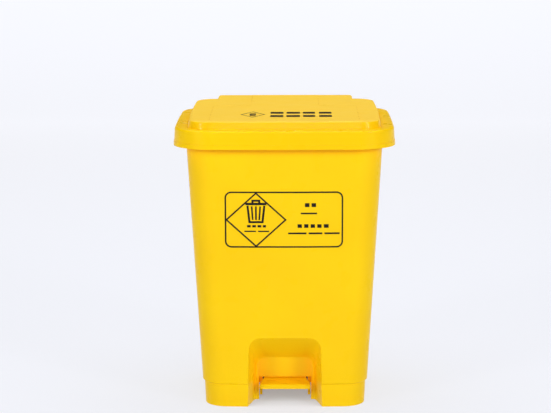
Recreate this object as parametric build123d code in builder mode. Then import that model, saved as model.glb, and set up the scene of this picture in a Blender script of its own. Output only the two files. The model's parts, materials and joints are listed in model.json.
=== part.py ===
from build123d import *
import os
from math import atan2, cos, degrees, hypot, radians, sin

# Pedal-operated waste bin of moulded polypropylene: a tapered container with a foot recess, a flared lid
# with a hinge hood at the rear, and a pedal lever that opens the lid through a push rod.
# Millimetres. X is across the bin, -Y is its front, Z is up. The origin is on the floor, under the middle
# of the whole bin's box.

# Overall sizes
LID_WIDTH = 425.0
LID_DEPTH = 385.0
HOOD_REACH = 38.0  # how far the hinge hood stands behind the lid's rear edge
BIN_HEIGHT = 566.0
WALL = 3.0
LID_Y = -HOOD_REACH / 2  # middle of the lid, without its hood

# Container: a tapered shell above a stepped-in plinth
STEP_HEIGHT = 47.5
STEP_DROP = 3.0
STEP_INSET = 3.3
STEP_OVERRUN = 1.5  # how far the cut that makes the step runs on past the container's surface
FOOT_INSET = 2.7
STEP_WIDTH = 325.0
STEP_FRONT = LID_Y - 145.8
STEP_REAR = LID_Y + 161.4
SIDE_SLOPE = 0.0561
FRONT_SLOPE = 0.0488
REAR_SLOPE = 0.0315
BODY_CORNER = 46.0
CORNER_GROWTH = 0.008  # of the corner radius, per millimetre of height
RIM_HEIGHT = 538.0
RIM_LIP = 4.0
RIM_LIP_THICKNESS = 5.0
FLOOR_UNDERSIDE = 46.0
FLOOR_TOP = 49.0
FRONT_CROWN = 5.0
SIDE_CROWN = 3.0
FLOOR_RIB_THICKNESS = 2.5
FLOOR_RIB_DEPTH = 23.0
FLOOR_RIB_CLEARANCE = 4.5  # from the plinth's outer surface to a rib's end

# Foot recess in the front, and the slot that the pedal comes out of
RECESS_FLOOR_WIDTH = 150.0
RECESS_TOP_WIDTH = 137.0
RECESS_TOP = 139.5
RECESS_TOP_CORNER = 24.0
RECESS_BACK = LID_Y - 88.0
RECESS_BACK_FLOOR_WIDTH = 119.0
RECESS_BACK_TOP_WIDTH = 112.0
RECESS_BACK_TOP = 86.0
RECESS_BACK_CORNER = 18.0
RECESS_BACK_BLEND = 7.0
RECESS_EDGE_RADIUS = 2.5
SLOT_WIDTH = 102.0

# Channel in the rear wall, in which the push rod runs
CHANNEL_WIDTH = 44.0
CHANNEL_DEPTH = 17.0
CHANNEL_TOP = 523.0
CHANNEL_EDGE_RADIUS = 3.0
NOTCH_WIDTH = 30.0

# Lid
LID_BOTTOM = 512.5
LID_BAND_TOP = 520.5
FLANGE_TOP = 546.5
LID_CORNER = 77.0
LID_TAPER = 2.4  # how much the skirt draws in by its top, on each side
BAND_STEP = 0.8
FLANGE_ROUND = 3.5
PANEL_FRONT = LID_Y - 161.5
PANEL_REAR = LID_Y + 173.6
PANEL_WIDTH = 364.5
PANEL_CORNER = 37.0
PANEL_DRAFT = 0.2
PANEL_EDGE_ROUND = 2.0
PANEL_SLOPE = 0.0128
PLATEAU_RISE = 1.0
PLATEAU_WIDTH = 287.0
PLATEAU_NECK_WIDTH = 138.0
PLATEAU_SHOULDER = LID_Y + 61.0
PLATEAU_CORNER = 12.0
HOOD_WIDTH = 278.0
HOOD_REAR = LID_Y + LID_DEPTH / 2 + HOOD_REACH
HOOD_BOTTOM = 500.0
HOOD_CORNER = 9.0
HOOD_TOP_ROUND = 4.0
SEAL_GAP = 0.3  # from the container's rim to the rubber seal above it
SEAL_INSIDE = 3.0
SEAL_OUTSIDE = 2.0
SEAL_EDGE_ROUND = 1.2

# Lid hinge
HINGE_Y = LID_Y + 192.0
HINGE_Z = 499.0
HINGE_AXLE = 6.0
LUG_PLACES = (-104.0, -42.0, 42.0, 104.0)
LUG_THICKNESS = 8.0
LUG_RADIUS = 8.0
KNUCKLE_PLACES = (-96.0, -50.0, 50.0, 96.0)
KNUCKLE_THICKNESS = 5.0
RUNNING_GAP = 0.1  # on the diameter of a hole that an axle or pin turns in
CAP_WALL = 2.5
CAP_GRIP = 6.0
CAP_GAP = 0.3

# Lid crank, push rod and pedal lever. The lid opens by LID_SWING, half of it with the crank pin below
# the hinge axle and half above, so the rod's travel is nearly in step with the lid.
LID_SWING = 75.0
CRANK_RADIUS = 23.9
CRANK_PIN = 5.0
CRANK_THICKNESS = 2.0
CRANK_OUTER = 16.0  # over both side plates
CRANK_BASE_WIDTH = 42.0
CRANK_BASE_TOP = 558.0
CRANK_BASE_FRONT = HINGE_Y + 6.0
CRANK_BASE_REAR = HINGE_Y + 31.0
CRANK_SCREW_X = 15.0
CRANK_SCREW_Y = (HINGE_Y + 12.0, HINGE_Y + 25.0)
CRANK_SCREW_DEPTH = 5.6
ROD_DIAMETER = 6.0
PIVOT_Y = LID_Y - 2.0
PIVOT_Z = 24.0
PEDAL_AXLE = 8.0
TREAD_FRONT = 113.8  # in front of the pivot
TREAD_REAR = 40.0
TREAD_TOP = 13.3  # above the pivot, at the tread's front edge
TREAD_TILT = 4.0  # degrees that the tread rises by to its rear while the lid is shut
TREAD_FRONT_WIDTH = 102.0
TREAD_REAR_WIDTH = 74.0
TREAD_THICKNESS = 9.0
TREAD_CORNER = 4.0
TREAD_ROUND = 3.5
LEVER_THICKNESS = 8.0
LEVER_ARM_WIDTH = 40.0
LEVER_FORK_WIDTH = 18.0
LEVER_FORK_GAP = 10.0
HUB_RADIUS = 9.0
HUB_HALF_WIDTH = 42.0
WASHER_THICKNESS = 2.4
CHEEK_GAP = 90.0  # between the two ribs that carry the pedal axle
CHEEK_THICKNESS = 5.0
CHEEK_FRONT = RECESS_BACK + 12.0
CHEEK_BOTTOM = 6.0

# Pins and their retaining rings, and the push rod's fittings, guides and screws
CLIP_THICKNESS = 0.8
PIN_HEAD = 8.0
PIN_HEAD_THICKNESS = 1.5
FITTING_NECK = 18.0
FITTING_THICKNESS = 12.6
ROD_GRIP = 12.0
NUT_ACROSS_FLATS = 10.0
NUT_HEIGHT = 5.0
GUIDE_HEIGHTS = {"lower": 120.0, "middle": 285.0, "upper": 440.0}
GUIDE_WIDTH = 30.0
GUIDE_HEIGHT = 12.0
GUIDE_PLATE = 3.0
GUIDE_NOSE_WIDTH = 13.0
GUIDE_SCREW_X = 11.0
GUIDE_BORE = ROD_DIAMETER + 0.6
BOSS_RADIUS = 4.5
SCREW_DIAMETER = 3.5
SCREW_HOLE = 3.9
SCREW_HEAD = 7.0
SCREW_HEAD_HEIGHT = 2.2
PILOT_DEPTH = 6.0

# Worked out from the above
ROD_LEAN = degrees(atan2(REAR_SLOPE, 1.0))
HALF_SWING = radians(LID_SWING / 2)
CRANK_PIN_Y = HINGE_Y - CRANK_RADIUS * cos(HALF_SWING)
CRANK_PIN_Z = HINGE_Z - CRANK_RADIUS * sin(HALF_SWING)
ROD_RISE = 2 * CRANK_RADIUS * sin(HALF_SWING)
ROD_TOP_Y = CRANK_PIN_Y - 2.7  # middle of the top fitting's slot, between the pin's two end places
LEVER_PIN_Z = PIVOT_Z - ROD_RISE / 2
LEVER_PIN_Y = ROD_TOP_Y - (CRANK_PIN_Z - LEVER_PIN_Z) * REAR_SLOPE
LEVER_REACH = hypot(LEVER_PIN_Y - PIVOT_Y, ROD_RISE / 2)
LEVER_TILT = atan2(ROD_RISE / 2, LEVER_PIN_Y - PIVOT_Y)


def crowned_outline(height, width, front, rear, corner):
    """Sketches a rounded rectangle at a height, with its four sides bowed outwards."""
    half = width / 2
    middle = (front + rear) / 2
    left, right = SIDE_CROWN - half, half - SIDE_CROWN
    near, far = front + FRONT_CROWN, rear - FRONT_CROWN
    with BuildSketch(Plane.XY.offset(height)) as outline:
        with BuildLine():
            ThreePointArc((left, near), (0, front), (right, near))
            ThreePointArc((right, near), (half, middle), (right, far))
            ThreePointArc((right, far), (0, rear), (left, far))
            ThreePointArc((left, far), (-half, middle), (left, near))
        make_face()
        fillet(outline.vertices(), corner)
    return outline.sketch


def body_outline(height, inset=0.0):
    """Sketches the container's tapered outer outline at a height, or one inside it."""
    rise = height - STEP_HEIGHT
    return crowned_outline(
        height,
        STEP_WIDTH + 2 * SIDE_SLOPE * rise - 2 * inset,
        STEP_FRONT - FRONT_SLOPE * rise + inset,
        STEP_REAR + REAR_SLOPE * rise - inset,
        BODY_CORNER + CORNER_GROWTH * rise - inset,
    )


def lid_outline(height, growth):
    """Sketches the lid's outline, grown from its largest outline by an amount, at a height."""
    return crowned_outline(
        height,
        LID_WIDTH + 2 * growth,
        LID_Y - LID_DEPTH / 2 - growth,
        LID_Y + LID_DEPTH / 2 + growth,
        LID_CORNER + growth,
    )


def panel_plane(offset=0.0):
    """The lid panel's top plane, which rises gently to the rear, moved up by an offset."""
    top_at_hood = Vector(0, HOOD_REAR, BIN_HEIGHT + offset)
    return Plane(origin=top_at_hood, x_dir=(1, 0, 0), z_dir=Vector(0, -PANEL_SLOPE, 1).normalized())


def panel_block(growth, offset, rounding=0.0):
    """A drafted block up to the panel's top plane: the raised panel, or the hollow inside it."""
    outlines = []
    for height in (FLANGE_TOP - WALL, BIN_HEIGHT + 4):
        spread = growth + PANEL_DRAFT * (BIN_HEIGHT - 3 - height)
        outlines.append(
            crowned_outline(
                height,
                PANEL_WIDTH + 2 * spread,
                PANEL_FRONT - spread,
                PANEL_REAR + spread,
                PANEL_CORNER + spread,
            )
        )
    with BuildPart() as block:
        loft(outlines, ruled=True)
        split(bisect_by=panel_plane(offset), keep=Keep.BOTTOM)
        if rounding:
            fillet(block.faces().sort_by(Axis.Z)[-1].edges(), rounding)
    return block


def recess_profile(y, floor_width, top_width, top, corner, growth):
    """Sketches the foot recess's arch on an upright plane across the bin."""
    floor_half, top_half = floor_width / 2 + growth, top_width / 2 + growth
    with BuildSketch(Plane.XZ.offset(-y)) as arch:
        with BuildLine():
            Polyline(
                (-floor_half, -1),
                (floor_half, -1),
                (top_half, top + growth),
                (-top_half, top + growth),
                close=True,
            )
        make_face()
        fillet(arch.vertices().group_by(Axis.Y)[-1], corner + growth)
    return arch.sketch


def recess_block(growth):
    """The foot recess as a solid, or grown by the wall around it."""
    front = STEP_FRONT - 40.0
    back = RECESS_BACK + growth
    slant = (RECESS_BACK - front) / (RECESS_BACK - (STEP_FRONT - 4.0))
    front_arch = recess_profile(
        front,
        RECESS_BACK_FLOOR_WIDTH + slant * (RECESS_FLOOR_WIDTH - RECESS_BACK_FLOOR_WIDTH),
        RECESS_BACK_TOP_WIDTH + slant * (RECESS_TOP_WIDTH - RECESS_BACK_TOP_WIDTH),
        RECESS_BACK_TOP + slant * (RECESS_TOP - RECESS_BACK_TOP),
        RECESS_TOP_CORNER,
        growth,
    )
    back_arch = recess_profile(
        back, RECESS_BACK_FLOOR_WIDTH, RECESS_BACK_TOP_WIDTH, RECESS_BACK_TOP, RECESS_BACK_CORNER, growth
    )
    with BuildPart() as block:
        loft((front_arch, back_arch), ruled=True)
        back_edges = block.faces().sort_by(Axis.Y)[-1].edges().sort_by(Axis.Z)[1:]
        fillet(back_edges, RECESS_BACK_BLEND + growth)
    return block


def channel_block(growth):
    """The rod channel as a solid that leans with the rear wall, or grown by the wall around it."""
    top = CHANNEL_TOP + growth
    bottom_rear = STEP_REAR - REAR_SLOPE * (STEP_HEIGHT + 1)
    top_rear = STEP_REAR + REAR_SLOPE * (top - STEP_HEIGHT)
    depth = CHANNEL_DEPTH + growth
    with BuildPart() as block:
        with BuildSketch(Plane.YZ):
            with BuildLine():
                Polyline(
                    (bottom_rear - depth, -1),
                    (bottom_rear + 30, -1),
                    (top_rear + 30, top),
                    (top_rear - depth, top),
                    close=True,
                )
            make_face()
        extrude(amount=CHANNEL_WIDTH / 2 + growth, both=True)
        inner_edges = block.edges().filter_by_position(Axis.Y, -LID_DEPTH, top_rear - 5)
        fillet(inner_edges.filter_by(Axis.X, reverse=True), CHANNEL_EDGE_RADIUS + growth)
    return block


def channel_floor(height):
    """How far back the rod channel's inner wall is at a height."""
    return STEP_REAR + REAR_SLOPE * (height - STEP_HEIGHT) - CHANNEL_DEPTH


def rod_plane(height, offset=0.0):
    """A plane across the push rod's leaning axis at a height, moved along the rod by an offset."""
    on_axis = Vector(0, LEVER_PIN_Y + (height - LEVER_PIN_Z) * REAR_SLOPE, height)
    along_rod = Vector(0, sin(radians(ROD_LEAN)), cos(radians(ROD_LEAN)))
    return Plane(origin=on_axis, x_dir=(1, 0, 0), z_dir=along_rod).offset(offset)


def channel_wall(x, height):
    """A plane on the channel's inner wall, facing out of the bin's rear."""
    outward = Vector(0, cos(radians(ROD_LEAN)), -sin(radians(ROD_LEAN)))
    return Plane(origin=(x, channel_floor(height), height), x_dir=(-1, 0, 0), z_dir=outward)


guide_screw_places = [
    channel_wall(x, height) for height in GUIDE_HEIGHTS.values() for x in (-GUIDE_SCREW_X, GUIDE_SCREW_X)
]


# Container -------------------------------------------------------------------------------------------

with BuildPart() as cavity:
    loft((body_outline(FLOOR_TOP, WALL), body_outline(RIM_HEIGHT + 1, WALL)), ruled=True)
    add(recess_block(WALL).part, mode=Mode.SUBTRACT)
    add(channel_block(WALL).part, mode=Mode.SUBTRACT)

with BuildPart() as plinth:
    foot = body_outline(-1, FOOT_INSET)
    below_step = body_outline(STEP_HEIGHT - STEP_DROP, STEP_INSET)
    above_step = body_outline(STEP_HEIGHT + STEP_OVERRUN, -STEP_OVERRUN * STEP_INSET / STEP_DROP)
    loft((foot, below_step, above_step), ruled=True)

with BuildPart() as plinth_surround:
    with BuildSketch(Plane.XY.offset(-1)):
        Rectangle(2 * LID_WIDTH, 2 * LID_DEPTH)
    extrude(amount=STEP_HEIGHT + 1 + STEP_OVERRUN)
    add(plinth.part, mode=Mode.SUBTRACT)

with BuildPart() as plinth_hollow:
    hollow_inset = STEP_INSET + WALL
    loft((body_outline(-1, hollow_inset), body_outline(FLOOR_UNDERSIDE, hollow_inset)), ruled=True)
    add(recess_block(WALL).part, mode=Mode.SUBTRACT)
    add(channel_block(WALL).part, mode=Mode.SUBTRACT)

with BuildPart() as bin_body:
    loft((body_outline(0), body_outline(RIM_HEIGHT)), ruled=True)
    add(recess_block(0).part, mode=Mode.SUBTRACT)
    arch_edges = (
        bin_body.edges()
        .filter_by_position(Axis.X, -80, 80)
        .filter_by_position(Axis.Z, 0.5, RECESS_TOP + 12)
        .filter_by_position(Axis.Y, STEP_FRONT - 12, STEP_FRONT + 8)
    )
    fillet(arch_edges, RECESS_EDGE_RADIUS)
    add(plinth_surround.part, mode=Mode.SUBTRACT)
    # Outward lip around the rim
    extrude(body_outline(RIM_HEIGHT - RIM_LIP_THICKNESS, -RIM_LIP), amount=RIM_LIP_THICKNESS)
    # Rear channel, container and the hollow under its floor
    add(channel_block(0).part, mode=Mode.SUBTRACT)
    add(cavity.part, mode=Mode.SUBTRACT)
    add(plinth_hollow.part, mode=Mode.SUBTRACT)
    # Slot for the pedal in the recess's rear wall, and the notch for the lever's end in the channel's
    with BuildSketch(Plane.XY.offset(-1)):
        with Locations((0, RECESS_BACK + 1)):
            Rectangle(SLOT_WIDTH, 8)
        with Locations((0, channel_floor(FLOOR_UNDERSIDE / 2) - 1)):
            Rectangle(NOTCH_WIDTH, 10)
    extrude(amount=FLOOR_UNDERSIDE + 1, mode=Mode.SUBTRACT)
    # Two ribs under the floor that carry the pedal axle, and stiffening ribs out to the plinth
    for side in (-1, 1):
        with BuildSketch(Plane.YZ.offset(side * (CHEEK_GAP / 2 + CHEEK_THICKNESS / 2))):
            with BuildLine():
                Polyline(
                    (CHEEK_FRONT, FLOOR_UNDERSIDE + 1),
                    (CHEEK_FRONT, CHEEK_BOTTOM),
                    (PIVOT_Y + 10, CHEEK_BOTTOM),
                    (PIVOT_Y + 30, FLOOR_UNDERSIDE + 1),
                    close=True,
                )
            make_face()
        extrude(amount=CHEEK_THICKNESS / 2, both=True)
        for y in (PIVOT_Y - 45, PIVOT_Y + 16, PIVOT_Y + 90):
            inner = CHEEK_GAP / 2 + 2 if y < PIVOT_Y + 20 else CHANNEL_WIDTH / 2 + 8
            outer = STEP_WIDTH / 2 - STEP_INSET - FLOOR_RIB_CLEARANCE
            with BuildSketch(Plane.XY.offset(FLOOR_UNDERSIDE + 1)):
                with Locations((side * (inner + outer) / 2, y)):
                    Rectangle(outer - inner, FLOOR_RIB_THICKNESS)
            extrude(amount=-FLOOR_RIB_DEPTH - 1)
    with BuildSketch(Plane.YZ):
        with Locations((PIVOT_Y, PIVOT_Z)):
            Circle((PEDAL_AXLE + RUNNING_GAP) / 2)
    extrude(amount=CHEEK_GAP, both=True, mode=Mode.SUBTRACT)
    # Hinge lugs on the rear wall
    for place in LUG_PLACES:
        with BuildSketch(Plane.YZ.offset(place)):
            with BuildLine():
                Polyline(
                    (HINGE_Y - 19, HINGE_Z + LUG_RADIUS),
                    (HINGE_Y, HINGE_Z + LUG_RADIUS),
                    (HINGE_Y + 5, HINGE_Z - 6),
                    (HINGE_Y - 19, HINGE_Z - 30),
                    close=True,
                )
            make_face()
            with Locations((HINGE_Y, HINGE_Z)):
                Circle(LUG_RADIUS)
                Circle((HINGE_AXLE + RUNNING_GAP) / 2, mode=Mode.SUBTRACT)
        extrude(amount=LUG_THICKNESS / 2, both=True)
    # Bosses and pilot holes for the rod guides' screws
    for place in guide_screw_places:
        with BuildSketch(place.offset(-WALL / 2)):
            Circle(BOSS_RADIUS)
        extrude(amount=-PILOT_DEPTH)
        with BuildSketch(place):
            Circle((SCREW_DIAMETER + RUNNING_GAP) / 2)
        extrude(amount=-PILOT_DEPTH, mode=Mode.SUBTRACT)

# Lid -------------------------------------------------------------------------------------------------

crank_screw_places = [
    Plane(origin=(side * CRANK_SCREW_X, y, CRANK_BASE_TOP), x_dir=(1, 0, 0), z_dir=(0, 0, -1))
    for side in (-1, 1)
    for y in CRANK_SCREW_Y
]

with BuildPart() as hood:
    with BuildSketch(Plane.YZ):
        with BuildLine():
            Polyline(
                (PANEL_REAR - 4, FLANGE_TOP - 1),
                (PANEL_REAR - 4, BIN_HEIGHT + 4),
                (HOOD_REAR, BIN_HEIGHT + 4),
                (HOOD_REAR - 1.5, HOOD_BOTTOM),
                (HINGE_Y - 1.5, HOOD_BOTTOM),
                (HINGE_Y - 4.0, FLANGE_TOP - 1),
                close=True,
            )
        make_face()
    extrude(amount=HOOD_WIDTH / 2, both=True)
    split(bisect_by=panel_plane(), keep=Keep.BOTTOM)
    rear_edges = hood.edges().filter_by_position(Axis.Y, HOOD_REAR - 2, HOOD_REAR + 1)
    fillet(rear_edges.filter_by(Axis.X, reverse=True), HOOD_CORNER)
    hood_rim = hood.faces().sort_by(Axis.Z)[-1].edges().sort_by(Axis.Y)[1:]
    fillet(hood_rim, HOOD_TOP_ROUND)
    with BuildSketch(Plane.YZ):
        with BuildLine():
            Polyline(
                (PANEL_REAR + 3 + WALL, FLANGE_TOP),
                (PANEL_REAR + 3 + WALL, BIN_HEIGHT - WALL - PANEL_SLOPE * 50),
                (HOOD_REAR - WALL, BIN_HEIGHT - WALL),
                (HOOD_REAR - WALL - 1.5, HOOD_BOTTOM - 1),
                (HINGE_Y - 12, HOOD_BOTTOM - 1),
                (HINGE_Y - 12, FLANGE_TOP),
                close=True,
            )
        make_face()
    extrude(amount=HOOD_WIDTH / 2 - WALL, both=True, mode=Mode.SUBTRACT)

with BuildPart() as plateau:
    with BuildSketch(Plane.XY.offset(FLANGE_TOP)) as tee:
        with Locations((0, (PANEL_FRONT - 20 + PLATEAU_SHOULDER) / 2)):
            Rectangle(PLATEAU_WIDTH, PLATEAU_SHOULDER - PANEL_FRONT + 20)
        fillet(tee.vertices().group_by(Axis.Y)[-1], PLATEAU_CORNER)
        with Locations((0, (PLATEAU_SHOULDER - 20 + HOOD_REAR + 20) / 2)):
            Rectangle(PLATEAU_NECK_WIDTH, HOOD_REAR - PLATEAU_SHOULDER + 40)
    extrude(amount=40)
    add(panel_block(0.8, PLATEAU_RISE, PANEL_EDGE_ROUND).part, mode=Mode.INTERSECT)

with BuildPart() as hood_plateau:
    with BuildSketch(panel_plane(-1)):
        with Locations((0, -40)):
            Rectangle(PLATEAU_NECK_WIDTH, 60)
    extrude(amount=1 + PLATEAU_RISE)

with BuildPart() as lid_shell:
    loft((lid_outline(LID_BOTTOM, 0), lid_outline(LID_BAND_TOP, -0.4)), ruled=True)
    skirt_outlines = (lid_outline(LID_BAND_TOP - 0.5, -0.4 - BAND_STEP), lid_outline(FLANGE_TOP, -LID_TAPER))
    loft(skirt_outlines, ruled=True)
    fillet(lid_shell.faces().sort_by(Axis.Z)[-1].edges(), FLANGE_ROUND)
    add(panel_block(0, 0, PANEL_EDGE_ROUND).part)
    add(plateau.part)
    add(hood.part)
    add(hood_plateau.part)
    inner_outlines = (lid_outline(LID_BOTTOM - 1, -WALL), lid_outline(FLANGE_TOP - WALL, -LID_TAPER - WALL))
    loft(inner_outlines, ruled=True, mode=Mode.SUBTRACT)
    add(panel_block(-WALL, -WALL).part, mode=Mode.SUBTRACT)
    # Bosses in the hood for the lid crank's screws
    for place in crank_screw_places:
        with BuildSketch(place):
            Circle(5)
        extrude(amount=-(BIN_HEIGHT - WALL / 2 - CRANK_BASE_TOP))
        with BuildSketch(place):
            Circle((SCREW_DIAMETER + RUNNING_GAP) / 2)
        extrude(amount=-CRANK_SCREW_DEPTH, mode=Mode.SUBTRACT)
    # Ribs in the hood that end in the hinge knuckles
    for place in KNUCKLE_PLACES:
        with BuildSketch(Plane.YZ.offset(place)):
            with BuildLine():
                Polyline(
                    (HINGE_Y - 3.5, FLANGE_TOP - WALL),
                    (HINGE_Y + 24, BIN_HEIGHT - WALL),
                    (HINGE_Y + 8, HINGE_Z),
                    (HINGE_Y, HINGE_Z),
                    (HINGE_Y - 0.5, LID_BOTTOM),
                    close=True,
                )
            make_face()
            with Locations((HINGE_Y, HINGE_Z)):
                Circle(LUG_RADIUS)
                Circle((HINGE_AXLE + RUNNING_GAP) / 2, mode=Mode.SUBTRACT)
        extrude(amount=KNUCKLE_THICKNESS / 2, both=True)

# Rubber seal under the lid's flange, over the container's rim
with BuildPart() as lid_seal:
    seal_bottom = RIM_HEIGHT + SEAL_GAP
    seal_height = FLANGE_TOP - WALL - seal_bottom
    extrude(body_outline(seal_bottom, -SEAL_OUTSIDE), amount=seal_height)
    extrude(body_outline(seal_bottom, SEAL_INSIDE), amount=seal_height, mode=Mode.SUBTRACT)
    fillet(lid_seal.faces().sort_by(Axis.Z)[0].edges(), SEAL_EDGE_ROUND)

# Hinge axle and pedal axle, each with a push-on cap at both ends ---------------------------------------


def axle(diameter, half_length, y, z):
    """A plain steel axle across the bin, with its ends chamfered."""
    with BuildPart() as rod:
        with BuildSketch(Plane.YZ):
            with Locations((y, z)):
                Circle(diameter / 2)
        extrude(amount=half_length, both=True)
        chamfer(rod.edges().filter_by(GeomType.CIRCLE), 0.6)
    return rod


def axle_caps(diameter, outer_face, y, z):
    """A pair of cup-shaped caps on an axle's ends, outside the faces at +/- outer_face."""
    with BuildPart() as caps:
        for side in (-1, 1):
            with BuildSketch(Plane.YZ.offset(side * (outer_face + CAP_GAP))):
                with Locations((y, z)):
                    Circle(diameter / 2 + CAP_WALL)
            extrude(amount=side * (CAP_GRIP + 1.5))
        chamfer(caps.edges().filter_by(GeomType.CIRCLE).group_by(Axis.X)[-1], 0.8)
        chamfer(caps.edges().filter_by(GeomType.CIRCLE).group_by(Axis.X)[0], 0.8)
        with BuildSketch(Plane.YZ):
            with Locations((y, z)):
                Circle((diameter + RUNNING_GAP) / 2)
        extrude(amount=outer_face + CAP_GAP + CAP_GRIP, both=True, mode=Mode.SUBTRACT)
    return caps


hinge_outer_face = LUG_PLACES[-1] + LUG_THICKNESS / 2
hinge_axle = axle(HINGE_AXLE, hinge_outer_face + CAP_GAP + CAP_GRIP - 0.5, HINGE_Y, HINGE_Z)
hinge_axle_caps = axle_caps(HINGE_AXLE, hinge_outer_face, HINGE_Y, HINGE_Z)
pedal_outer_face = CHEEK_GAP / 2 + CHEEK_THICKNESS
pedal_axle = axle(PEDAL_AXLE, pedal_outer_face + CAP_GAP + CAP_GRIP - 0.5, PIVOT_Y, PIVOT_Z)
pedal_axle_caps = axle_caps(PEDAL_AXLE, pedal_outer_face, PIVOT_Y, PIVOT_Z)

# Lid crank: a bent steel bracket, screwed up into two bosses in the hood --------------------------------

with BuildPart() as lid_crank:
    for side in (-1, 1):
        with BuildSketch(Plane.YZ.offset(side * CRANK_OUTER / 2)):
            with BuildLine():
                Polyline(
                    (CRANK_BASE_FRONT, CRANK_BASE_TOP),
                    (CRANK_BASE_REAR - 4, CRANK_BASE_TOP),
                    (CRANK_BASE_REAR - 4, CRANK_BASE_TOP - 14),
                    (HINGE_Y + 9, HINGE_Z),
                    (HINGE_Y, HINGE_Z),
                    (HINGE_Y + 3, HINGE_Z + 12),
                    close=True,
                )
            make_face()
            with Locations((HINGE_Y, HINGE_Z)):
                Circle(9)
            arm_middle = ((HINGE_Y + CRANK_PIN_Y) / 2, (HINGE_Z + CRANK_PIN_Z) / 2)
            with Locations(Location(arm_middle, degrees(HALF_SWING))):
                SlotCenterToCenter(CRANK_RADIUS, 12)
            with Locations((HINGE_Y, HINGE_Z)):
                Circle((HINGE_AXLE + RUNNING_GAP) / 2, mode=Mode.SUBTRACT)
            with Locations((CRANK_PIN_Y, CRANK_PIN_Z)):
                Circle((CRANK_PIN + RUNNING_GAP) / 2, mode=Mode.SUBTRACT)
        extrude(amount=-side * CRANK_THICKNESS)
    with BuildSketch(Plane.XY.offset(CRANK_BASE_TOP)):
        with Locations((0, (CRANK_BASE_FRONT + CRANK_BASE_REAR) / 2)):
            RectangleRounded(CRANK_BASE_WIDTH, CRANK_BASE_REAR - CRANK_BASE_FRONT, 4)
        with Locations(*[(side * CRANK_SCREW_X, y) for side in (-1, 1) for y in CRANK_SCREW_Y]):
            Circle(SCREW_HOLE / 2, mode=Mode.SUBTRACT)
    extrude(amount=-CRANK_THICKNESS)


def screw_group(places, shank):
    """Pan-head screws, one on each plane: the head stands on the plane, and the shank goes into it."""
    with BuildPart() as screw:
        with BuildSketch(Plane.XY):
            Circle(SCREW_HEAD / 2)
        extrude(amount=SCREW_HEAD_HEIGHT)
        fillet(screw.edges().sort_by(Axis.Z)[-1], 1.2)
        with BuildSketch(Plane.XY):
            Circle(SCREW_DIAMETER / 2)
        extrude(amount=-shank)
        with BuildSketch(Plane.XY.offset(SCREW_HEAD_HEIGHT)):
            Rectangle(3.6, 0.9)
            Rectangle(0.9, 3.6)
        extrude(amount=-1.2, mode=Mode.SUBTRACT)
    with BuildPart() as group:
        with Locations(*[place.location for place in places]):
            add(screw.part)
    return group


crank_screws = screw_group(
    [place.offset(CRANK_THICKNESS) for place in crank_screw_places], CRANK_THICKNESS + CRANK_SCREW_DEPTH - 0.5
)

# Pin between the crank's plates and the push rod's top fitting, and between the lever and the bottom one --


def headed_pin(half_grip, y, z):
    """A clevis pin across the bin: a head outside -half_grip, and a grooved end past +half_grip."""
    with BuildPart() as pin:
        with BuildSketch(Plane.YZ.offset(-half_grip - 0.1)):
            with Locations((y, z)):
                Circle(PIN_HEAD / 2)
        extrude(amount=-PIN_HEAD_THICKNESS)
        fillet(pin.edges().sort_by(Axis.X)[0], 0.5)
        with BuildSketch(Plane.YZ.offset(-half_grip - 0.1)):
            with Locations((y, z)):
                Circle(CRANK_PIN / 2)
        extrude(amount=2 * half_grip + 0.1 + 2.6)
        chamfer(pin.edges().sort_by(Axis.X)[-1], 0.5)
        with BuildSketch(Plane.YZ.offset(half_grip + 0.2)):
            with Locations((y, z)):
                Circle(CRANK_PIN / 2 + 1)
                Circle(CRANK_PIN / 2 - 0.6, mode=Mode.SUBTRACT)
        extrude(amount=CLIP_THICKNESS + 0.1, mode=Mode.SUBTRACT)
    return pin


def pin_clip(half_grip, y, z):
    """The open retaining ring that snaps into a clevis pin's groove."""
    with BuildPart() as clip:
        with BuildSketch(Plane.YZ.offset(half_grip + 0.25)):
            with Locations((y, z)):
                Circle(CRANK_PIN / 2 + 2)
                Circle(CRANK_PIN / 2 - 0.5, mode=Mode.SUBTRACT)
            with Locations((y, z + CRANK_PIN / 2 + 1)):
                Rectangle(2.4, 4, mode=Mode.SUBTRACT)
        extrude(amount=CLIP_THICKNESS)
    return clip


crank_pin = headed_pin(CRANK_OUTER / 2, CRANK_PIN_Y, CRANK_PIN_Z)
crank_pin_clip = pin_clip(CRANK_OUTER / 2, CRANK_PIN_Y, CRANK_PIN_Z)
lever_pin = headed_pin(LEVER_FORK_WIDTH / 2, LEVER_PIN_Y, LEVER_PIN_Z)
lever_pin_clip = pin_clip(LEVER_FORK_WIDTH / 2, LEVER_PIN_Y, LEVER_PIN_Z)

# Push rod with its two fittings and their lock nuts ----------------------------------------------------


def rod_fitting(height, toward_rod, width, slot_length, slot_height, length):
    """An eye on one end of the rod: a rounded block with a slot for a pin, and a neck that takes the rod."""
    with BuildPart() as fitting:
        with BuildSketch(rod_plane(height, -FITTING_THICKNESS / 2)):
            RectangleRounded(width, length, 1.5)
        extrude(amount=FITTING_THICKNESS)
        with BuildSketch(rod_plane(height, toward_rod * 6)):
            Circle(5)
        extrude(amount=toward_rod * (FITTING_NECK - 6))
        with BuildSketch(rod_plane(height, toward_rod * (FITTING_NECK - ROD_GRIP))):
            Circle(ROD_DIAMETER / 2)
        extrude(amount=toward_rod * (ROD_GRIP + 1), mode=Mode.SUBTRACT)
        with BuildSketch(Plane.YZ):
            with Locations(Location((rod_plane(height).origin.Y, height), 0)):
                SlotOverall(slot_length, slot_height)
        extrude(amount=width, both=True, mode=Mode.SUBTRACT)
    return fitting


rod_top_fitting = rod_fitting(CRANK_PIN_Z, -1, 10.0, 11.6, 6.2, 17.0)
rod_bottom_fitting = rod_fitting(LEVER_PIN_Z, 1, 8.0, 7.6, 5.8, 13.0)

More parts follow.
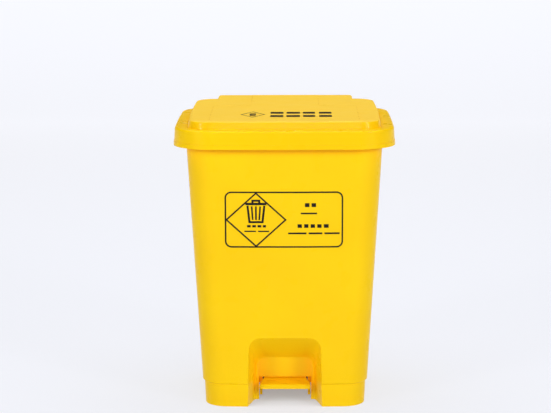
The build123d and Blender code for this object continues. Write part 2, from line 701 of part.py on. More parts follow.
with BuildPart() as push_rod:
    rod_start = rod_plane(LEVER_PIN_Z, FITTING_NECK - ROD_GRIP + 0.5)
    rod_end = rod_plane(CRANK_PIN_Z, ROD_GRIP - FITTING_NECK - 0.5)
    with BuildSketch(rod_start):
        Circle(ROD_DIAMETER / 2)
    extrude(amount=(rod_end.origin - rod_start.origin).length)
    chamfer(push_rod.edges().filter_by(GeomType.CIRCLE), 0.5)

with BuildPart() as rod_lock_nuts:
    for plane in (rod_plane(LEVER_PIN_Z, FITTING_NECK), rod_plane(CRANK_PIN_Z, -FITTING_NECK - NUT_HEIGHT)):
        with BuildSketch(plane):
            RegularPolygon(NUT_ACROSS_FLATS / 2, 6, major_radius=False)
            Circle(ROD_DIAMETER / 2, mode=Mode.SUBTRACT)
        extrude(amount=NUT_HEIGHT)

# Guides in the rear channel, each screwed on with two screws -------------------------------------------

rod_guides = {}
for level, height in GUIDE_HEIGHTS.items():
    with BuildPart() as guide:
        with BuildSketch(channel_wall(0, height)):
            RectangleRounded(GUIDE_WIDTH, GUIDE_HEIGHT, 2)
        extrude(amount=GUIDE_PLATE)
        with BuildSketch(channel_wall(0, height)):
            RectangleRounded(GUIDE_NOSE_WIDTH, GUIDE_HEIGHT, 2)
        extrude(amount=CHANNEL_DEPTH)
        fillet(guide.faces().sort_by(Axis.Y)[-1].edges(), 1)
        with BuildSketch(rod_plane(height)):
            Circle(GUIDE_BORE / 2)
        extrude(amount=GUIDE_HEIGHT, both=True, mode=Mode.SUBTRACT)
        with BuildSketch(channel_wall(0, height)):
            with Locations((-GUIDE_SCREW_X, 0), (GUIDE_SCREW_X, 0)):
                Circle(SCREW_HOLE / 2)
        extrude(amount=GUIDE_PLATE + 1, mode=Mode.SUBTRACT)
    rod_guides[f"rod_guide_{level}"] = guide

guide_screw_heads = [place.offset(GUIDE_PLATE) for place in guide_screw_places]
rod_guide_screws = screw_group(guide_screw_heads, GUIDE_PLATE + PILOT_DEPTH - 0.5)

# Pedal lever: a tread, and an arm, a hub and the rod's fork in the lever's own tilted frame --------

lever_top = Plane(origin=(0, PIVOT_Y, PIVOT_Z), x_dir=(1, 0, 0), z_dir=(0, sin(LEVER_TILT), cos(LEVER_TILT)))
lever_side = Plane(origin=lever_top.origin, x_dir=lever_top.y_dir, z_dir=(1, 0, 0))

tread_front = Vector(0, PIVOT_Y - TREAD_FRONT, PIVOT_Z + TREAD_TOP)
tread_normal = (0, -sin(radians(TREAD_TILT)), cos(radians(TREAD_TILT)))
tread_top = Plane(origin=tread_front, x_dir=(1, 0, 0), z_dir=tread_normal)

with BuildPart() as pedal_lever:
    with BuildSketch(tread_top) as tread:
        with BuildLine():
            Polyline(
                (-TREAD_FRONT_WIDTH / 2, 0),
                (TREAD_FRONT_WIDTH / 2, 0),
                (TREAD_REAR_WIDTH / 2, TREAD_FRONT - TREAD_REAR),
                (-TREAD_REAR_WIDTH / 2, TREAD_FRONT - TREAD_REAR),
                close=True,
            )
        make_face()
        fillet(tread.vertices().group_by(Axis.Y)[0], TREAD_CORNER)
    extrude(amount=-TREAD_THICKNESS)
    fillet(pedal_lever.faces().sort_by(Axis.Z)[-1].edges(), TREAD_ROUND)
    # Arm from the tread to the hub, narrower behind it
    with BuildSketch(lever_top.offset(-LEVER_THICKNESS / 2)):
        with Locations((0, -(TREAD_REAR + 20) / 2)):
            Rectangle(LEVER_ARM_WIDTH, TREAD_REAR + 20)
        with Locations((0, LEVER_REACH / 2)):
            Rectangle(LEVER_FORK_WIDTH, LEVER_REACH)
    extrude(amount=LEVER_THICKNESS)
    with BuildSketch(lever_side):
        with Locations((LEVER_REACH, 0)):
            Circle(6)
    extrude(amount=LEVER_FORK_WIDTH / 2, both=True)
    with BuildSketch(lever_side):
        Circle(HUB_RADIUS)
    extrude(amount=HUB_HALF_WIDTH, both=True)
    # Gap between the fork's plates, and the bores
    with BuildSketch(lever_top.offset(-12)):
        with Locations((0, LEVER_REACH)):
            Rectangle(LEVER_FORK_GAP, 34)
    extrude(amount=24, mode=Mode.SUBTRACT)
    with BuildSketch(lever_side):
        Circle((PEDAL_AXLE + RUNNING_GAP) / 2)
        with Locations((LEVER_REACH, 0)):
            Circle((CRANK_PIN + RUNNING_GAP) / 2)
    extrude(amount=HUB_HALF_WIDTH + 1, both=True, mode=Mode.SUBTRACT)

with BuildPart() as pedal_washers:
    for side in (-1, 1):
        with BuildSketch(Plane.YZ.offset(side * (HUB_HALF_WIDTH + 0.3))):
            with Locations((PIVOT_Y, PIVOT_Z)):
                Circle(HUB_RADIUS - 0.5)
                Circle((PEDAL_AXLE + RUNNING_GAP) / 2, mode=Mode.SUBTRACT)
        extrude(amount=side * WASHER_THICKNESS)

# Every sub-part, one STEP file each ---------------------------------------------------------------------

sub_parts = {
    "bin_body": bin_body,
    "lid_shell": lid_shell,
    "lid_seal": lid_seal,
    "hinge_axle": hinge_axle,
    "hinge_axle_caps": hinge_axle_caps,
    "pedal_axle": pedal_axle,
    "pedal_axle_caps": pedal_axle_caps,
    "lid_crank": lid_crank,
    "lid_crank_screws": crank_screws,
    "crank_pin": crank_pin,
    "crank_pin_clip": crank_pin_clip,
    "lever_pin": lever_pin,
    "lever_pin_clip": lever_pin_clip,
    "push_rod": push_rod,
    "rod_top_fitting": rod_top_fitting,
    "rod_bottom_fitting": rod_bottom_fitting,
    "rod_lock_nuts": rod_lock_nuts,
    "rod_guide_screws": rod_guide_screws,
    "pedal_lever": pedal_lever,
    "pedal_washers": pedal_washers,
    **rod_guides,
}
os.makedirs("parts", exist_ok=True)
for name, built in sub_parts.items():
    built.part.label = name
    export_step(built.part, f"parts/{name}.step")

print("lid pin", CRANK_PIN_Y, CRANK_PIN_Z, "lever pin", LEVER_PIN_Y, LEVER_PIN_Z)
print("pedal swing", degrees(2 * LEVER_TILT), "rod travel", ROD_RISE / cos(radians(ROD_LEAN)))
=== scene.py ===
import json
import math

import bmesh
import bpy
from mathutils import Matrix, Vector
from mathutils.bvhtree import BVHTree


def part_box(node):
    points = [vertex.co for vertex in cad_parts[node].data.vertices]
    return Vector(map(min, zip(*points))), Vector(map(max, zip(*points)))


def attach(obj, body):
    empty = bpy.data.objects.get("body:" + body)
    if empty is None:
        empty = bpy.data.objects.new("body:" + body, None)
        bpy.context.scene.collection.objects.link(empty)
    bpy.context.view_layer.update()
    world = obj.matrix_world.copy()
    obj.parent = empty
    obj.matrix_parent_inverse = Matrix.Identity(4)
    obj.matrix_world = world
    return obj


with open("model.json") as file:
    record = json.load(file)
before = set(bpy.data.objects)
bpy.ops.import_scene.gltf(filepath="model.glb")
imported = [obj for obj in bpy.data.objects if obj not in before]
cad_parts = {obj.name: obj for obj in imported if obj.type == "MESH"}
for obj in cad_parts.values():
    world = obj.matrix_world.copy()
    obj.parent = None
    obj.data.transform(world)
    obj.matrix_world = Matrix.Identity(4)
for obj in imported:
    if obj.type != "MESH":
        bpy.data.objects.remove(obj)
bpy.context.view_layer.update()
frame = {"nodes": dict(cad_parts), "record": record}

NODES = frame["nodes"]
scene = bpy.context.scene
MM = 0.001

# Camera ------------------------------------------------------------------------------------------------

FRAME_WIDTH = 551
FOCAL_PIXELS = 1801.9
SENSOR = 36.0
CAMERA_AT = Vector((0.0219, -3.5379, 1.0105))
CAMERA_PITCH = 10.31
CAMERA_YAW = -0.66
CAMERA_ROLL = -0.2


def add_camera():
    """The camera, 3.5 m in front of the bin and 1 m above the floor, looking a little down."""
    data = bpy.data.cameras.new("camera")
    data.sensor_width = SENSOR
    data.lens = FOCAL_PIXELS / FRAME_WIDTH * SENSOR
    data.clip_end = 60
    camera = bpy.data.objects.new("camera", data)
    camera.location = CAMERA_AT
    yaw = Matrix.Rotation(math.radians(-CAMERA_YAW), 3, "Z")
    pitch = Matrix.Rotation(math.radians(90 - CAMERA_PITCH), 3, "X")
    roll = Matrix.Rotation(math.radians(CAMERA_ROLL), 3, "Z")
    camera.rotation_euler = (yaw @ pitch @ roll).to_euler()
    scene.collection.objects.link(camera)
    scene.camera = camera


add_camera()

# Materials ---------------------------------------------------------------------------------------------


class Shader:
    """A small helper for building a node material around one Principled shader."""

    def __init__(self, name):
        self.material = bpy.data.materials.new(name)
        self.material.use_nodes = True
        self.tree = self.material.node_tree
        self.surface = self.tree.nodes["Principled BSDF"]
        self.place = self.tree.nodes.new("ShaderNodeTexCoord")

    def link(self, source, target):
        self.tree.links.new(source, target)

    def set(self, **values):
        for name, value in values.items():
            self.surface.inputs[name.replace("_", " ")].default_value = value

    def feed(self, socket, source):
        """Gives a socket of the shader a value that varies over the surface."""
        self.link(source, self.surface.inputs[socket])

    def combine(self, operation, first, second):
        """Adds or multiplies two values."""
        node = self.tree.nodes.new("ShaderNodeMath")
        node.operation = operation
        self.link(first, node.inputs[0])
        self.link(second, node.inputs[1])
        return node.outputs[0]

    def noise(self, scale, detail=3.0, stretch=(1, 1, 1), roughness=0.5):
        """Noise over the object's own coordinates, in cycles per metre."""
        mapping = self.tree.nodes.new("ShaderNodeMapping")
        mapping.inputs["Scale"].default_value = stretch
        self.link(self.place.outputs["Object"], mapping.inputs["Vector"])
        texture = self.tree.nodes.new("ShaderNodeTexNoise")
        texture.inputs["Scale"].default_value = scale
        texture.inputs["Detail"].default_value = detail
        texture.inputs["Roughness"].default_value = roughness
        self.link(mapping.outputs["Vector"], texture.inputs["Vector"])
        return texture.outputs["Fac"]

    def ramp(self, source, low, high, start=0.35, end=0.65):
        """Maps a value between start and end to the range low to high."""
        node = self.tree.nodes.new("ShaderNodeMapRange")
        node.inputs["From Min"].default_value = start
        node.inputs["From Max"].default_value = end
        node.inputs["To Min"].default_value = low
        node.inputs["To Max"].default_value = high
        self.link(source, node.inputs["Value"])
        return node.outputs["Result"]

    def mix(self, factor, first, second):
        """Mixes two colours, or a colour and the output of another mix, by a factor."""
        node = self.tree.nodes.new("ShaderNodeMix")
        node.data_type = "RGBA"
        self.link(factor, node.inputs["Factor"])
        for socket, value in ((node.inputs[6], first), (node.inputs[7], second)):
            if isinstance(value, bpy.types.NodeSocket):
                self.link(value, socket)
            else:
                socket.default_value = (*value, 1)
        return node.outputs[2]

    def bump(self, heights):
        """Chains bump nodes: heights is a list of (source, distance in metres)."""
        normal = None
        for source, distance in heights:
            node = self.tree.nodes.new("ShaderNodeBump")
            node.inputs["Strength"].default_value = 1.0
            node.inputs["Distance"].default_value = distance
            self.link(source, node.inputs["Height"])
            if normal is not None:
                self.link(normal, node.inputs["Normal"])
            normal = node.outputs["Normal"]
        self.feed("Normal", normal)

    def crevices(self, reach):
        """1 deep in narrow gaps and corners, and 0 on open surfaces and just above the floor."""
        occlusion = self.tree.nodes.new("ShaderNodeAmbientOcclusion")
        occlusion.samples = 8
        occlusion.inputs["Distance"].default_value = reach
        above_floor = self.ramp(self.height(), 0.0, 1.0, start=0.008, end=0.035)
        enclosed = self.ramp(occlusion.outputs["AO"], 1.0, 0.0, start=0.35, end=0.8)
        return self.combine("MULTIPLY", enclosed, above_floor)

    def height(self):
        """The height above the floor, with the bin shut."""
        parts = self.tree.nodes.new("ShaderNodeSeparateXYZ")
        self.link(self.place.outputs["Object"], parts.inputs["Vector"])
        return parts.outputs["Z"]

    def edge_mask(self, radius):
        """1 along edges and 0 on open surfaces, from how far a bevelled normal turns from the true one."""
        bevel = self.tree.nodes.new("ShaderNodeBevel")
        bevel.samples = 4
        bevel.inputs["Radius"].default_value = radius
        geometry = self.tree.nodes.new("ShaderNodeNewGeometry")
        dot = self.tree.nodes.new("ShaderNodeVectorMath")
        dot.operation = "DOT_PRODUCT"
        self.link(bevel.outputs["Normal"], dot.inputs[0])
        self.link(geometry.outputs["Normal"], dot.inputs[1])
        return self.ramp(dot.outputs["Value"], 1.0, 0.0, start=0.85, end=0.995)


# Colours are linear red, green and blue.
YELLOW = (0.92, 0.59, 0.004)
YELLOW_DEEP = (0.905, 0.56, 0.004)
YELLOW_PALE = (0.95, 0.64, 0.015)
# Painted shade: the deeper orange of narrow gaps and of the body under the lid's rim.
YELLOW_SHADED = (1.0, 0.36, 0.0)
# Painted sheen: the paler colour of the lid's matt raised panel.
YELLOW_PAINTED_SHEEN = (0.90, 0.59, 0.06)
# Painted shade for the line along the edge of the lid's T-shaped field.
YELLOW_FIELD_SHADE = (0.72, 0.43, 0.03)
# Painted glow in the deepest gaps, in place of light that comes through the plastic; the second one,
# yellower, is for the pedal's tread.
CREVICE_PAINTED_GLOW = (0.12, 0.025, 0.0)
TREAD_PAINTED_GLOW = (0.12, 0.14, 0.0)
PANEL_FACE = 0.5596  # just below the front edge of the lid's raised panel


def moulded_plastic(name, roughness=0.3, shading=0.8, painted_glow=CREVICE_PAINTED_GLOW, matt_and_sheen_above=None):
    """Yellow polypropylene: a fine moulded grain, slight colour drift, paler edges and light scuffs.

    Narrow gaps and corners, and the body under the lid's rim, get painted shade in a deeper orange; the
    deepest of them get a painted glow in place of light that comes through the plastic.
    Above a given height the surface is matt, and its colour is painted paler there as a painted sheen, as on
    the lid's raised panel."""
    shader = Shader(name)
    drift = shader.ramp(shader.noise(6, 2), 0.0, 1.0)
    scuffs = shader.ramp(shader.noise(55, 5, stretch=(1, 1, 0.25), roughness=0.7), 0.0, 0.5, 0.62, 0.78)
    edges = shader.edge_mask(radius=0.0012)
    colour = shader.mix(drift, YELLOW, YELLOW_DEEP)
    colour = shader.mix(shader.ramp(edges, 0.0, 0.2, 0.0, 1.0), colour, YELLOW_PALE)
    # Painted shade in gaps, corners and under the lid's rim, and a painted glow in the deepest of them.
    crevices = shader.crevices(reach=0.045)
    colour = shader.mix(shader.ramp(crevices, 0.0, shading, 0.0, 1.0), colour, YELLOW_SHADED)
    painted_glow_depth = shader.ramp(crevices, 0.0, 1.0, 0.55, 1.0)
    shader.feed("Emission Color", shader.mix(painted_glow_depth, (0, 0, 0), painted_glow))
    mottled = shader.ramp(shader.noise(30, 4), roughness - 0.04, roughness + 0.05)
    gloss = shader.combine("ADD", mottled, shader.ramp(scuffs, 0.0, 0.05, 0.0, 0.5))
    # The raised panel is matt, and its colour is painted paler as a painted sheen.
    if matt_and_sheen_above:
        matt_and_sheen = shader.ramp(shader.height(), 0.0, 0.32, matt_and_sheen_above, matt_and_sheen_above + 0.0008)
        gloss = shader.combine("ADD", gloss, matt_and_sheen)
        colour = shader.mix(shader.ramp(matt_and_sheen, 0.0, 1.0, 0.0, 0.32), colour, YELLOW_PAINTED_SHEEN)
    shader.feed("Base Color", colour)
    shader.feed("Roughness", gloss)
    shader.bump([(shader.noise(1400, 2), 0.00002), (shader.noise(18, 1), 0.00025)])
    shader.set(Specular_IOR_Level=0.05, Coat_Weight=0.08, Coat_Roughness=0.06, Emission_Strength=1.0)
    return shader.material


def field_shade_line(name):
    """A painted shade line along the edge of the T-shaped field on the lid's panel, where the field's step
    casts its shadow.
    """
    shader = Shader(name)
    colour = shader.mix(shader.ramp(shader.noise(80, 3), 0.0, 1.0), YELLOW_FIELD_SHADE, YELLOW_PAINTED_SHEEN)
    shader.feed("Base Color", shader.mix(shader.edge_mask(radius=0.0002), colour, YELLOW_FIELD_SHADE))
    shader.feed("Roughness", shader.ramp(shader.noise(300, 3), 0.55, 0.7))
    shader.bump([(shader.noise(1400, 2), 0.00001)])
    shader.set(Specular_IOR_Level=0.05)
    return shader.material


def zinc_steel(name):
    """Bright zinc-plated steel with faint drawing lines and dull patches."""
    shader = Shader(name)
    patches = shader.ramp(shader.noise(90, 4), 0.0, 1.0)
    colour = shader.mix(patches, (0.60, 0.61, 0.63), (0.47, 0.48, 0.50))
    shader.feed("Base Color", shader.mix(shader.edge_mask(radius=0.0004), colour, (0.75, 0.76, 0.78)))
    shader.feed("Roughness", shader.ramp(shader.noise(240, 3, stretch=(0.1, 1, 1)), 0.24, 0.42))
    shader.bump([(shader.noise(900, 2, stretch=(0.05, 1, 1)), 0.00001)])
    shader.set(Metallic=1.0)
    return shader.material


def black_nylon(name):
    """Black moulded nylon with a matt grain and greyed edges."""
    shader = Shader(name)
    colour = shader.mix(shader.ramp(shader.noise(60, 3), 0.0, 1.0), (0.018, 0.018, 0.02), (0.03, 0.03, 0.032))
    shader.feed("Base Color", shader.mix(shader.edge_mask(radius=0.0005), colour, (0.09, 0.09, 0.095)))
    shader.feed("Roughness", shader.ramp(shader.noise(120, 3), 0.42, 0.58))
    shader.bump([(shader.noise(2200, 2), 0.00002)])
    return shader.material


def seal_rubber(name):
    """Soft dark rubber, slightly dusty."""
    shader = Shader(name)
    dust = shader.ramp(shader.noise(140, 5), 0.0, 0.6, 0.5, 0.75)
    shader.feed("Base Color", shader.mix(dust, (0.022, 0.021, 0.02), (0.06, 0.058, 0.054)))
    shader.feed("Roughness", shader.ramp(shader.noise(200, 3), 0.62, 0.82))
    shader.bump([(shader.noise(1600, 2), 0.00003)])
    shader.set(Specular_IOR_Level=0.3)
    return shader.material


def print_ink(name):
    """Screen-printed black ink with small thin spots and a faint orange-peel surface."""
    shader = Shader(name)
    thin = shader.ramp(shader.noise(700, 4), 0.0, 0.5, 0.62, 0.8)
    shader.feed("Base Color", shader.mix(thin, (0.012, 0.011, 0.010), (0.06, 0.04, 0.012)))
    shader.feed("Roughness", shader.ramp(shader.noise(400, 3), 0.34, 0.5))
    shader.bump([(shader.noise(1100, 2), 0.00001)])
    shader.set(Specular_IOR_Level=0.1)
    return shader.material


MATERIALS = {
    "bin_plastic": moulded_plastic("bin_plastic"),
    "lid_plastic": moulded_plastic("lid_plastic", shading=0.2, matt_and_sheen_above=PANEL_FACE),
    # The pedal gets no painted shade, only a yellower painted glow in its deepest parts.
    "pedal_plastic": moulded_plastic("pedal_plastic", roughness=0.38, shading=0.0, painted_glow=TREAD_PAINTED_GLOW),
    "seal_rubber": seal_rubber("seal_rubber"),
    "zinc_steel": zinc_steel("zinc_steel"),
    "black_nylon": black_nylon("black_nylon"),
    "print_ink": print_ink("print_ink"),
}
for subpart in frame["record"]["subparts"]:
    mesh = NODES[subpart["node"]].data
    mesh.materials.clear()
    mesh.materials.append(MATERIALS[subpart["material_slot"]])

# Printing and a painted shade line ------------------------------------------------------------------

LID_CENTRE_Y = (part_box("lid_seal")[0].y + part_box("lid_seal")[1].y) / 2
STRIP_SUNK = 0.02 * MM
STRIP_PROUD = 0.14 * MM
STRIP_STEP = 5 * MM


def surface_of(node):
    """A tree for finding points on a CAD node's surface."""
    mesh = NODES[node].data
    return BVHTree.FromPolygons([v.co for v in mesh.vertices], [p.vertices for p in mesh.polygons])


def on_front(tree):
    """Turns across and up on the container's front, in metres, into points on its surface."""

    def place(across, up, height):
        spot, normal, _, _ = tree.ray_cast(Vector((across, -2, up)), Vector((0, 1, 0)))
        return spot + normal * height

    return place


def on_lid(tree):
    """Turns across and back on the lid's top, in metres, into points on its surface."""

    def place(across, back, height):
        spot, normal, _, _ = tree.ray_cast(Vector((across, back, 2)), Vector((0, 0, -1)))
        return spot + normal * height

    return place


def divided(points, closed):
    """Adds points along each run of an outline so that it can follow a curved surface."""
    ends = points[1:] + points[:1] if closed else points[1:]
    result = []
    for (ax, ay), (bx, by) in zip(points, ends):
        count = max(1, math.ceil(math.hypot(bx - ax, by - ay) / STRIP_STEP))
        result += [(ax + (bx - ax) * i / count, ay + (by - ay) * i / count) for i in range(count)]
    return result if closed else result + [points[-1]]


def print_or_shade_line(bm, place, points, width, closed=False):
    """Adds a line of constant width to a bmesh: a thin closed strip that lies on a surface, for print or for
    a painted shade line.
    """
    points = divided(points, closed)
    count = len(points)
    rings = []
    for i, (x, y) in enumerate(points):
        before = points[i - 1] if closed or i else points[i]
        after = points[(i + 1) % count] if closed or i < count - 1 else points[i]
        if before == points[i]:
            before = (2 * x - after[0], 2 * y - after[1])
        if after == points[i]:
            after = (2 * x - before[0], 2 * y - before[1])
        first = Vector((x - before[0], y - before[1])).normalized()
        second = Vector((after[0] - x, after[1] - y)).normalized()
        across = Vector((-(first + second).y, (first + second).x)).normalized()
        reach = width / 2 / max(0.4, across.dot(Vector((-first.y, first.x))))
        left = (x + across.x * reach, y + across.y * reach)
        right = (x - across.x * reach, y - across.y * reach)
        corners = [(*left, STRIP_PROUD), (*right, STRIP_PROUD), (*right, -STRIP_SUNK), (*left, -STRIP_SUNK)]
        rings.append([bm.verts.new(place(*corner)) for corner in corners])
    runs = count if closed else count - 1
    for i in range(runs):
        here, there = rings[i], rings[(i + 1) % count]
        for k in range(4):
            bm.faces.new((here[k], here[(k + 1) % 4], there[(k + 1) % 4], there[k]))
    if not closed:
        bm.faces.new(rings[0][::-1])
        bm.faces.new(rings[-1])


def ink_bar(bm, place, left, right, middle, height):
    """Adds a solid bar between two ends."""
    print_or_shade_line(bm, place, [(left, middle), (right, middle)], height)


def rounded_frame(left, right, bottom, top, radius, steps=7):
    """The outline of a rounded rectangle."""
    points = []
    for cx, cy, start in (
        (right - radius, bottom + radius, -90),
        (right - radius, top - radius, 0),
        (left + radius, top - radius, 90),
        (left + radius, bottom + radius, 180),
    ):
        for i in range(steps + 1):
            angle = math.radians(start + 90 * i / steps)
            points.append((cx + radius * math.cos(angle), cy + radius * math.sin(angle)))
    return points


def diamond(cx, cy, half_width, half_height):
    """The outline of a diamond that stands on its point."""
    return [(cx, cy - half_height), (cx + half_width, cy), (cx, cy + half_height), (cx - half_width, cy)]


def bin_pictogram(bm, place, cx, cy, width, height, line):
    """A plain open bin drawn in lines: a lid bar with a handle, tapered sides and three ribs."""
    top, bottom = cy + height * 0.26, cy - height * 0.5
    half_top, half_bottom = width * 0.40, width * 0.31
    ink_bar(bm, place, cx - width / 2, cx + width / 2, cy + height * 0.34, line * 1.2)
    handle = [
        (cx - width * 0.16, cy + height * 0.38),
        (cx - width * 0.16, cy + height * 0.49),
        (cx + width * 0.16, cy + height * 0.49),
        (cx + width * 0.16, cy + height * 0.38),
    ]
    print_or_shade_line(bm, place, handle, line)
    sides = [
        (cx - half_top, top),
        (cx - half_bottom, bottom),
        (cx + half_bottom, bottom),
        (cx + half_top, top),
    ]
    print_or_shade_line(bm, place, sides, line)
    for share in (-0.5, 0.0, 0.5):
        foot = (cx + share * half_bottom, bottom + height * 0.1)
        head = (cx + share * half_top, top - height * 0.03)
        print_or_shade_line(bm, place, [foot, head], line * 0.8)


def add_print_or_shade_piece(name, body, draw, material=MATERIALS["print_ink"]):
    """Makes one thin piece from the lines that draw(bm) adds."""
    bm = bmesh.new()
    draw(bm)
    bmesh.ops.recalc_face_normals(bm, faces=bm.faces)
    mesh = bpy.data.meshes.new(name)
    bm.to_mesh(mesh)
    bm.free()
    mesh.materials.append(material)
    piece = bpy.data.objects.new(name, mesh)
    scene.collection.objects.link(piece)
    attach(piece, body)


LABEL_LINE = 3.0 * MM
LABEL_LEFT, LABEL_RIGHT, LABEL_BOTTOM, LABEL_TOP = -0.1118, 0.1100, 0.321, 0.4273  # in metres
LABEL_CORNER = 0.011
SIGN_X = -0.0539  # the middle of the label's diamond and its pictogram
LID_MARK_X = -0.061  # the same on the lid
LABEL_ROWS = (  # middle height, bar height, and the ends of each bar, in mm
    (402.5, 7.5, ((39, 47.5), (51.5, 60))),
    (386.3, 3.2, ((31, 62),)),
    (361.8, 7.0, ((25, 33), (37.5, 45.5), (50, 58), (62.5, 70.5), (75, 84))),
    (347.5, 3.4, ((7, 42), (46, 72), (76, 105))),
    (361.5, 4.6, ((-71, -64), (-61, -54), (-51, -44), (-41, -35))),
    (351.5, 2.6, ((-76, -54), (-50, -29))),
)


def draw_label(bm):
    """The label on the front: a rounded frame, a diamond with a pictogram, and bars in place of words."""
    place = on_front(surface_of("bin_body"))
    border = rounded_frame(LABEL_LEFT, LABEL_RIGHT, LABEL_BOTTOM, LABEL_TOP, LABEL_CORNER)
    print_or_shade_line(bm, place, border, LABEL_LINE, closed=True)
    print_or_shade_line(bm, place, diamond(SIGN_X, 0.3739, 0.0562, 0.0516), LABEL_LINE, closed=True)
    bin_pictogram(bm, place, SIGN_X, 0.3905, 0.040, 0.042, 4.0 * MM)
    for middle, height, bars in LABEL_ROWS:
        for left, right in bars:
            ink_bar(bm, place, left * MM, right * MM, middle * MM, height * MM)


def draw_lid_mark(bm):
    """The mark on the lid: a small diamond with a pictogram, and two rows of four bars."""
    place = on_lid(surface_of("lid_shell"))
    middle = LID_CENTRE_Y - 0.072
    print_or_shade_line(bm, place, diamond(LID_MARK_X, middle, 0.0225, 0.037), 2.4 * MM, closed=True)
    bin_pictogram(bm, place, LID_MARK_X, middle, 0.013, 0.034, 2.2 * MM)
    for left, right in ((-27, -2), (4, 30), (36, 59), (67, 91)):
        for row in (-22, 22):
            ink_bar(bm, place, left * MM, right * MM, middle + row * MM, 24 * MM)


# The painted shade line along the lid's T-shaped field: its width and where it runs.
FIELD_SHADE_LINE = 1.3 * MM
FIELD_INSET = 1.2 * MM  # from the field's edge to the middle of the line
FIELD_HALF_WIDTH = 143.5 * MM
FIELD_HALF_NECK = 69 * MM
FIELD_CORNER = 12 * MM
FIELD_SHOULDER = 253.5 * MM  # from the lid's front to where the field narrows
LINE_START = 34 * MM  # from the lid's front
LINE_END = 14 * MM  # from the hood's rear


def draw_field_shade_line(bm):
    """The painted shade line on top of the T-shaped field, along its edge on both sides."""
    place = on_lid(surface_of("lid_shell"))
    low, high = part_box("lid_shell")
    front = low.y + LINE_START
    rear = high.y - LINE_END
    shoulder = low.y + FIELD_SHOULDER - FIELD_INSET
    half_width = FIELD_HALF_WIDTH - FIELD_INSET
    half_neck = FIELD_HALF_NECK - FIELD_INSET
    corner = FIELD_CORNER - FIELD_INSET
    steps = 6
    for side in (-1, 1):
        bend = []
        for i in range(steps + 1):
            angle = math.radians(90 / steps * i)
            across = half_width - corner + corner * math.cos(angle)
            bend.append((side * across, shoulder - corner + corner * math.sin(angle)))
        path = [(side * half_width, front), *bend, (side * half_neck, shoulder), (side * half_neck, rear)]
        print_or_shade_line(bm, place, path, FIELD_SHADE_LINE)


# A painted shade line along the step at the edge of the lid's T-shaped field.
add_print_or_shade_piece("lid_field_shade_line", "lid", draw_field_shade_line, field_shade_line("field_shade_line"))
add_print_or_shade_piece("front_label_print", "bin", draw_label)
add_print_or_shade_piece("lid_mark_print", "lid", draw_lid_mark)

# Floor, backdrop and lights ----------------------------------------------------------------------------


WALL_AT = 4.6


def sweep_paper():
    """Pale paper that is partly emissive: its glow is painted stronger to the rear as painted light, and a
    painted shadow darkens it around what stands on it.
    """
    shader = Shader("sweep_paper")
    shader.set(Base_Color=(0.17, 0.18, 0.21, 1), Roughness=0.7, Specular_IOR_Level=0.1)
    shader.set(Emission_Color=(0.70, 0.705, 0.735, 1))
    parts = shader.tree.nodes.new("ShaderNodeSeparateXYZ")
    shader.link(shader.place.outputs["Object"], parts.inputs["Vector"])
    # Painted light: the glow grows stronger towards the backdrop.
    distance = shader.ramp(parts.outputs["Y"], 1.0, 1.17, start=0.0, end=WALL_AT)
    # Painted shadow: the glow is dimmed where the paper is closed in by what stands on it.
    occlusion = shader.tree.nodes.new("ShaderNodeAmbientOcclusion")
    occlusion.inputs["Distance"].default_value = 0.3
    painted_contact_shadow = shader.ramp(occlusion.outputs["AO"], 0.45, 1.0, start=0.0, end=0.5)
    shader.feed("Emission Strength", shader.combine("MULTIPLY", distance, painted_contact_shadow))
    return shader.material


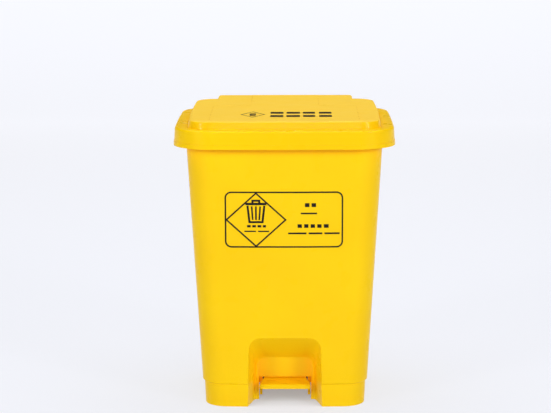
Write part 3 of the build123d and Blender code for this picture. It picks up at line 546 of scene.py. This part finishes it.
def add_sweep():
    """A pale floor that curves up into a backdrop behind the bin."""
    half_width, front, bend, top = 7.0, -9.0, 0.6, 0.9
    profile = [(front, 0.0), (-1.0, 0.0), (WALL_AT - bend, 0.0)]
    steps = 14
    for i in range(1, steps + 1):
        angle = math.pi / 2 * i / steps
        profile.append((WALL_AT - bend + bend * math.sin(angle), bend - bend * math.cos(angle)))
    profile.append((WALL_AT, top))
    mesh = bpy.data.meshes.new("sweep")
    points = [(x, y, z) for y, z in profile for x in (-half_width, half_width)]
    faces = [(2 * i, 2 * i + 1, 2 * i + 3, 2 * i + 2) for i in range(len(profile) - 1)]
    mesh.from_pydata(points, [], faces)
    mesh.polygons.foreach_set("use_smooth", [True] * len(faces))
    sweep = bpy.data.objects.new("sweep", mesh)
    scene.collection.objects.link(sweep)
    mesh.materials.append(sweep_paper())


def add_area_light(name, at, target, size, power):
    """A white rectangular light that faces its target, with its size in metres and its power in watts."""
    data = bpy.data.lights.new(name, "AREA")
    data.shape = "RECTANGLE"
    data.size, data.size_y = size
    data.energy = power
    light = bpy.data.objects.new(name, data)
    light.location = at
    light.rotation_euler = (Vector(target) - Vector(at)).to_track_quat("-Z", "Y").to_euler()
    scene.collection.objects.link(light)


def add_world():
    """A dim surround near the horizon that grows brighter overhead."""
    world = bpy.data.worlds.new("world")
    world.use_nodes = True
    tree = world.node_tree
    place = tree.nodes.new("ShaderNodeTexCoord")
    parts = tree.nodes.new("ShaderNodeSeparateXYZ")
    tree.links.new(place.outputs["Generated"], parts.inputs["Vector"])
    climb = tree.nodes.new("ShaderNodeMapRange")
    climb.inputs["From Min"].default_value = 0.2
    climb.inputs["From Max"].default_value = 0.8
    climb.inputs["To Min"].default_value = 0.15
    climb.inputs["To Max"].default_value = 0.5
    tree.links.new(parts.outputs["Z"], climb.inputs["Value"])
    tree.links.new(climb.outputs["Result"], tree.nodes["Background"].inputs["Strength"])
    scene.world = world


def add_lights():
    middle = (0, 0, 0.3)
    add_area_light("key_left", (-2.3, -2.4, 1.35), middle, (0.9, 1.3), 36)
    add_area_light("key_right", (2.3, -2.4, 1.35), middle, (0.9, 1.3), 41)
    add_area_light("front", (0.3, -4.4, 2.2), middle, (2.0, 1.2), 35)
    add_area_light("top", (0, 0.8, 3.2), (0, 0.8, 0), (3.4, 2.8), 97)
    add_area_light("strip_left", (-2.1, -2.1, 1.3), middle, (0.08, 0.5), 8)
    add_area_light("strip_right", (2.1, -2.1, 1.3), middle, (0.08, 0.5), 8)


add_sweep()
add_world()
add_lights()
scene.view_settings.view_transform = "Standard"
scene.view_settings.look = "None"
scene.view_settings.exposure = 0.0
